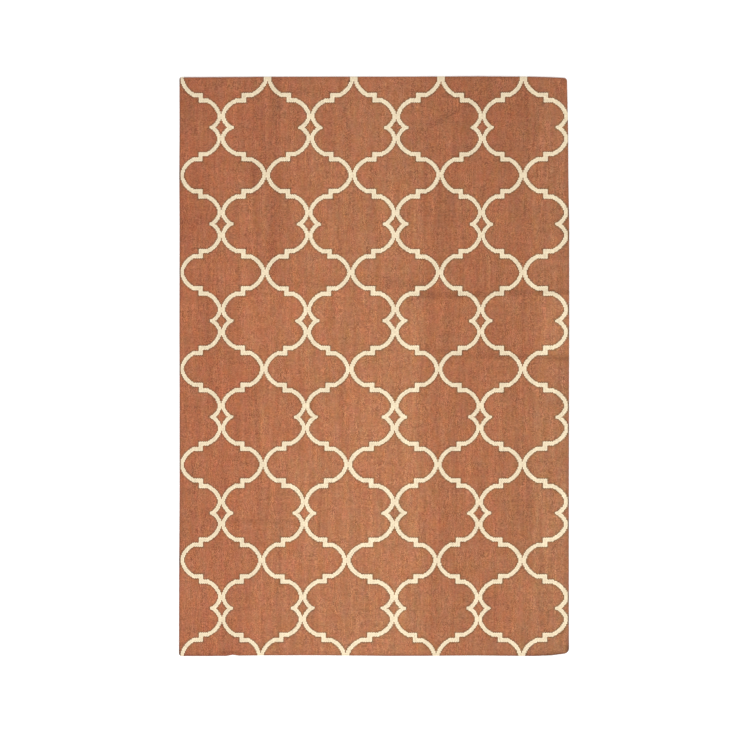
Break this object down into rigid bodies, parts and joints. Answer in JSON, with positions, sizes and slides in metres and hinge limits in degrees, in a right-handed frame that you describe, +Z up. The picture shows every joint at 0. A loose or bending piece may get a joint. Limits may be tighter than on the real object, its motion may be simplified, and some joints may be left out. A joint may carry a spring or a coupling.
{
  "type": "reversible outdoor rug",
  "caption": "Rectangular flat-woven outdoor rug with an ivory trellis lattice on terracotta, woven through so that both faces show it, with hemmed ends and plain selvedges.",
  "frame": {"origin": "on the ground, under the middle of the rug", "axes": "+X across the rug's width, +Y along its length, +Z up out of the face that shows"},
  "size_m": [1.2224, 1.816, 0.0074],
  "materials": {
    "woven_cloth": "matt weft-faced flat weave, terracotta yarn with an ivory lattice woven in"
  },
  "bodies": {
    "root": {"rug": "woven_cloth"}
  },
  "joints": []
}
